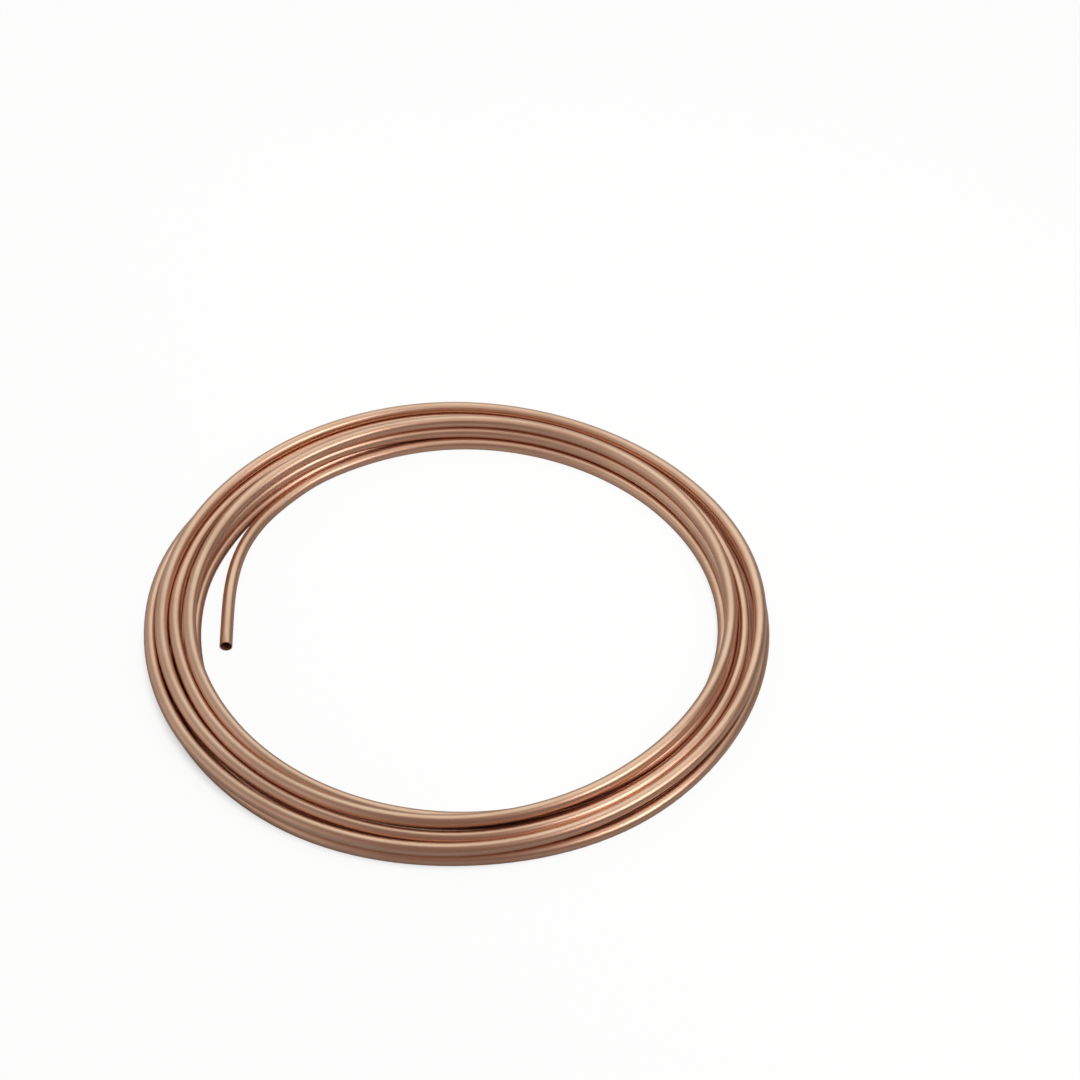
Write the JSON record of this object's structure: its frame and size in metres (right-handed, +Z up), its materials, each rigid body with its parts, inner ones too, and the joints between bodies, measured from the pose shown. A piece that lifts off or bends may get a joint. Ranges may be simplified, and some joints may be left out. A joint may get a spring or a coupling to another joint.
{
  "type": "copper tube coil",
  "caption": "Flat coil of soft copper tube, wound turn on turn into a ring, with its open inner end bent free inside the ring.",
  "frame": {"origin": "on the floor under the coil, on the coil's axis", "axes": "+Z up along the coil's axis; the free inner end points along -Y, on the -X side"},
  "size_m": [0.5799, 0.58, 0.0328],
  "materials": {
    "copper": "satin soft copper"
  },
  "bodies": {
    "root": {"copper_tube_coil": "copper"}
  },
  "joints": []
}
